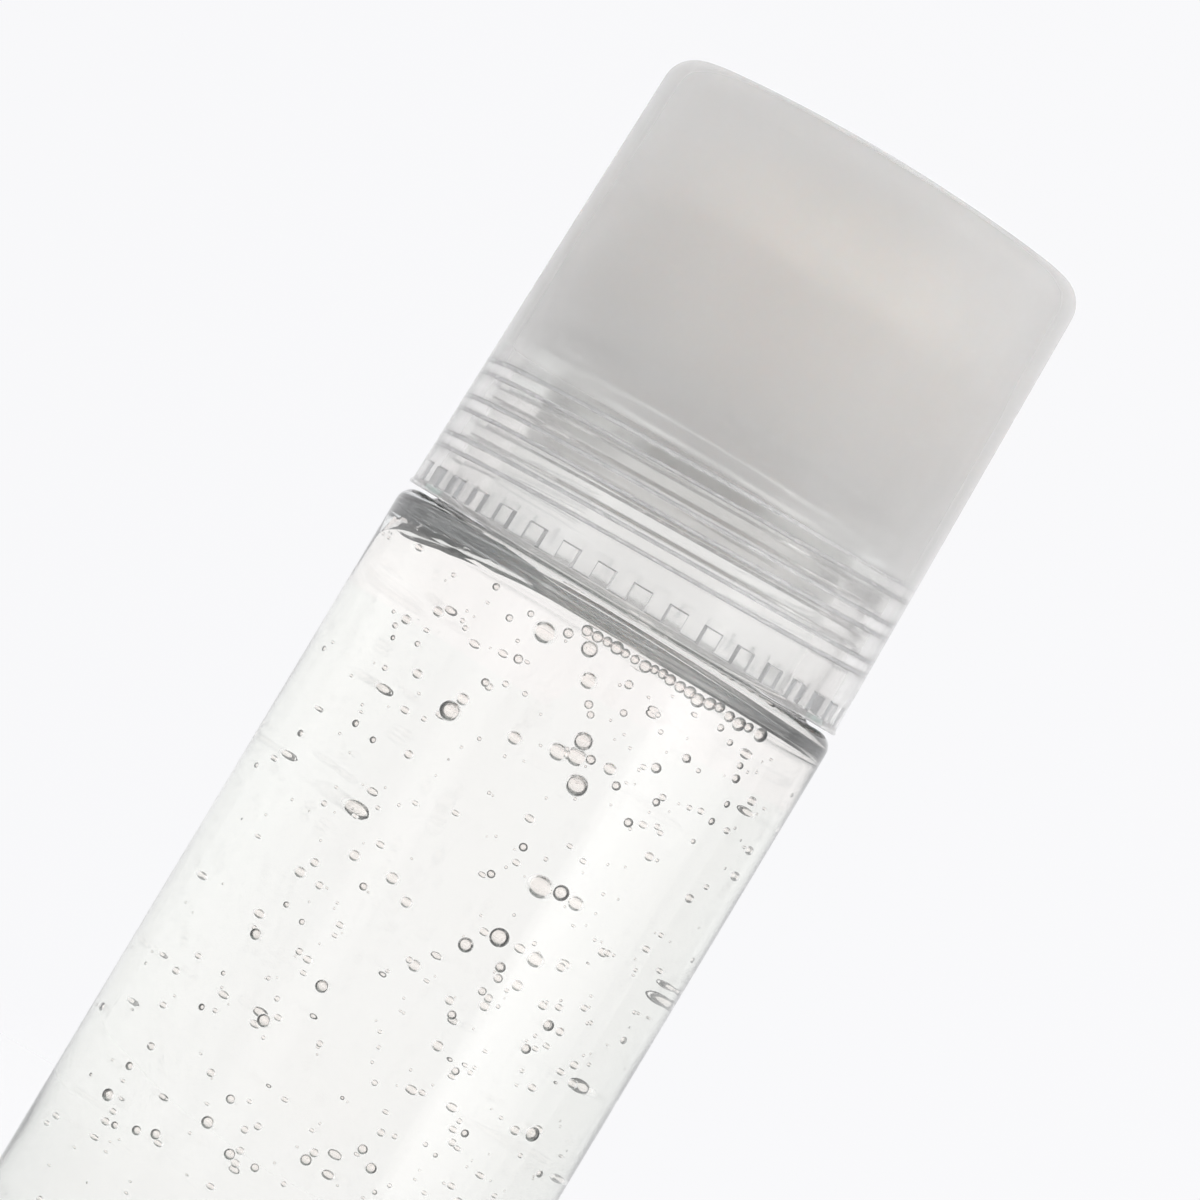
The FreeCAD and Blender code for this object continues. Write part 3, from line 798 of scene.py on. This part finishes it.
def cap_shell():
    """Frosted cap: tapered wall, domed crown, inside thread, and a rim cut into teeth on the inside."""
    outer = [(r, crown(r), 0) for r in (0, *CROWN_RINGS)] + [
        (CAP_TOP_RADIUS, CAP_SIDE_TOP, CAP_EDGE_ROUND),
        (CAP_FOOT_RADIUS, LIP_TOP, 0.15),
        (LIP_RADIUS, CAP_FOOT + LIP_BEVEL, 0.05),
        (LIP_RADIUS - LIP_BEVEL, CAP_FOOT, 0),
        (NOTCH_RADIUS, CAP_FOOT, 0),
    ]
    outline = filled(rounded(outer, steps=8), 8)
    outline += [(NOTCH_RADIUS, LIP_TOP), (CAP_INSIDE, LIP_TOP + EDGE_SLOPE)]
    notch_rows = (len(outline) - 1, len(outline))
    outline += [(inner_wall(NOTCH_TOP), NOTCH_TOP - EDGE_SLOPE), (inner_wall(NOTCH_TOP), NOTCH_TOP)]
    ribs = thread_rows(CAP_THREAD)
    first = len(outline)
    outline += [(inner_wall(z), z) for out, z in ribs]
    inner = rounded([
        (inner_wall(NECK_TOP), NECK_TOP, 0),
        (CAP_INSIDE_TOP, under_crown(CAP_INSIDE_TOP), CAP_INNER_ROUND),
        (CROWN_OUTER_RING, under_crown(CROWN_OUTER_RING), 0),
        (PAD_RING_OUTSIDE, under_crown(PAD_RING_OUTSIDE), 0.3),
        (PAD_RING_OUTSIDE, PAD_RING_FOOT, 0.2),
        (PAD_RING_INSIDE, PAD_RING_FOOT, 0.2),
        (PAD_RING_INSIDE, under_crown(PAD_RING_INSIDE), 0.2),
        (CROWN_INNER_RING, under_crown(CROWN_INNER_RING), 0),
        (0, under_crown(0), 0),
    ], steps=5)
    outline += filled(inner, 6)

    def bend(r, z, angle, index):
        if index in notch_rows and abs(math.remainder(angle - NOTCH_FIRST, NOTCH_PITCH)) < NOTCH_HALF:
            return NOTCH_RADIUS, z
        row = index - first
        if not 0 <= row < len(ribs):
            return r, z
        turn, left = thread_turn(angle)
        lowest = NOTCH_TOP + ROW_GAP * (row + 1)
        highest = NECK_TOP - ROW_GAP * (len(ribs) - row)
        height = min(max(z + THREAD_LEAD * turn, lowest), highest)
        return inner_wall(height) - ribs[row][0] * left, height

    mesh = spin(outline, cap_angles(), bend)
    sort_cap_faces(mesh)
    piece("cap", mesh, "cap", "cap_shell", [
        frosted_plastic("frosted_cap", 0.26, 0.84, 0.7, CLEAR_TOP, MILKY_FROM),
        frosted_plastic("frosted_cap_inside", 0.75, 0.92, 0.76, THREAD_TOP, FROST_FROM),
        painted_shade_steps(),
    ])


def cap_pad():
    """Soft sealing pad, domed under the crown and dished to the ball."""
    def dish(r):
        return BALL_Z + math.sqrt(PAD_DISH ** 2 - r ** 2)

    def dome(r):
        return PAD_TOP - r ** 2 / (2 * PAD_DOME_RADIUS)

    low = [(r, dish(r)) for r in [PAD_RADIUS * k / 12 for k in range(12)]]
    outline = low + rounded([
        (*low[-1], 0),
        (PAD_RADIUS, PAD_FOOT, 0.3),
        (PAD_RADIUS, dome(PAD_RADIUS), 0.4),
        (PAD_RADIUS / 2, dome(PAD_RADIUS / 2), 0),
        (0, PAD_TOP, 0),
    ], steps=5)[1:]
    mesh = spin(outline, even_angles(96))
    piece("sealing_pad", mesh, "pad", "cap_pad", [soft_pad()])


# Stage

def floor():
    """Pale floor that fades into the background away from the bottle."""
    mesh = bmesh.new()
    bmesh.ops.create_grid(mesh, x_segments=2, y_segments=2, size=FLOOR_HALF)
    data = bpy.data.meshes.new("floor")
    mesh.to_mesh(data)
    mesh.free()
    obj = put_in_scene("floor", data)
    obj.location.z = -FLOOR_DROP
    paint = Paint("pale_floor", Base_Color=(0.92, 0.92, 0.925, 1), Roughness=0.9)
    length = paint.nodes.new("ShaderNodeVectorMath")
    length.operation = "LENGTH"
    paint.links.new(paint.place, length.inputs[0])
    fade = smooth_range(paint.tree, length.outputs["Value"], FADE_FROM, FADE_TO, 0, 1)
    clear = paint.nodes.new("ShaderNodeBsdfTransparent")
    mix = paint.nodes.new("ShaderNodeMixShader")
    paint.links.new(fade, mix.inputs["Fac"])
    paint.links.new(paint.shader.outputs["BSDF"], mix.inputs[1])
    paint.links.new(clear.outputs["BSDF"], mix.inputs[2])
    paint.links.new(mix.outputs["Shader"], paint.nodes["Material Output"].inputs["Surface"])
    data.materials.append(paint.material)


def surroundings():
    """Near white behind and in front, dimmer at the sides, above and below, and brighter to the right."""
    world = bpy.data.worlds.new("studio")
    bpy.context.scene.world = world
    world.use_nodes = True
    tree = world.node_tree
    nodes, links = tree.nodes, tree.links
    place = nodes.new("ShaderNodeTexCoord")
    split = nodes.new("ShaderNodeSeparateXYZ")
    links.new(place.outputs["Generated"], split.inputs["Vector"])
    depth = nodes.new("ShaderNodeMapRange")
    depth.inputs["From Min"].default_value = -1
    links.new(split.outputs["Y"], depth.inputs["Value"])
    band = nodes.new("ShaderNodeValToRGB")
    stops = band.color_ramp.elements
    stops[0].color = WORLD_FRONT
    stops[1].color = WORLD_BEHIND
    for position, level in WORLD_BANDS:
        stops.new(position).color = (level, level, level * WORLD_BLUE, 1)
    links.new(depth.outputs["Result"], band.inputs["Fac"])
    strength = smooth_range(tree, split.outputs["X"], WORLD_LEFT, WORLD_RIGHT, STRENGTH_LEFT, STRENGTH_RIGHT)
    around = nodes["Background"]
    links.new(band.outputs["Color"], around.inputs["Color"])
    links.new(strength, around.inputs["Strength"])


def soft_light(name, energy, spread, origin):
    """Soft light from far away in this direction, spread over this many degrees."""
    data = bpy.data.lights.new(name, "SUN")
    data.energy = energy
    data.angle = math.radians(spread)
    obj = put_in_scene(name, data)
    obj.rotation_euler = Vector(origin).to_track_quat("Z", "Y").to_euler()


def camera():
    """Level camera, rolled as in the photograph."""
    data = bpy.data.cameras.new("camera")
    data.lens = CAMERA_LENS
    data.sensor_width = 36
    data.clip_start = 0.01
    obj = put_in_scene("camera", data)
    c, s = math.cos(CAMERA_ROLL), math.sin(CAMERA_ROLL)
    turn = Matrix(((c, -s, 0), (0, 0, -1), (s, c, 0)))
    place = Vector((AIM_X, -CAMERA_DISTANCE, EYE_Z)) * MM
    obj.matrix_world = Matrix.Translation(place) @ turn.to_4x4()
    bpy.context.scene.camera = obj


glass_bottle()
gel_fill()
ball_housing()
roller_ball()
cap_shell()
cap_pad()
floor()
surroundings()
soft_light("key", 0.65, 80, (0.92, -0.25, 0.4))
soft_light("fill", 0.34, 110, (-0.95, -0.15, 0.3))
soft_light("front", 0.45, 120, (0.1, -1, 0.3))
camera()

scene = bpy.context.scene
scene.view_settings.view_transform = "Standard"
scene.cycles.max_bounces = 24
scene.cycles.transmission_bounces = 24
scene.cycles.glossy_bounces = 8
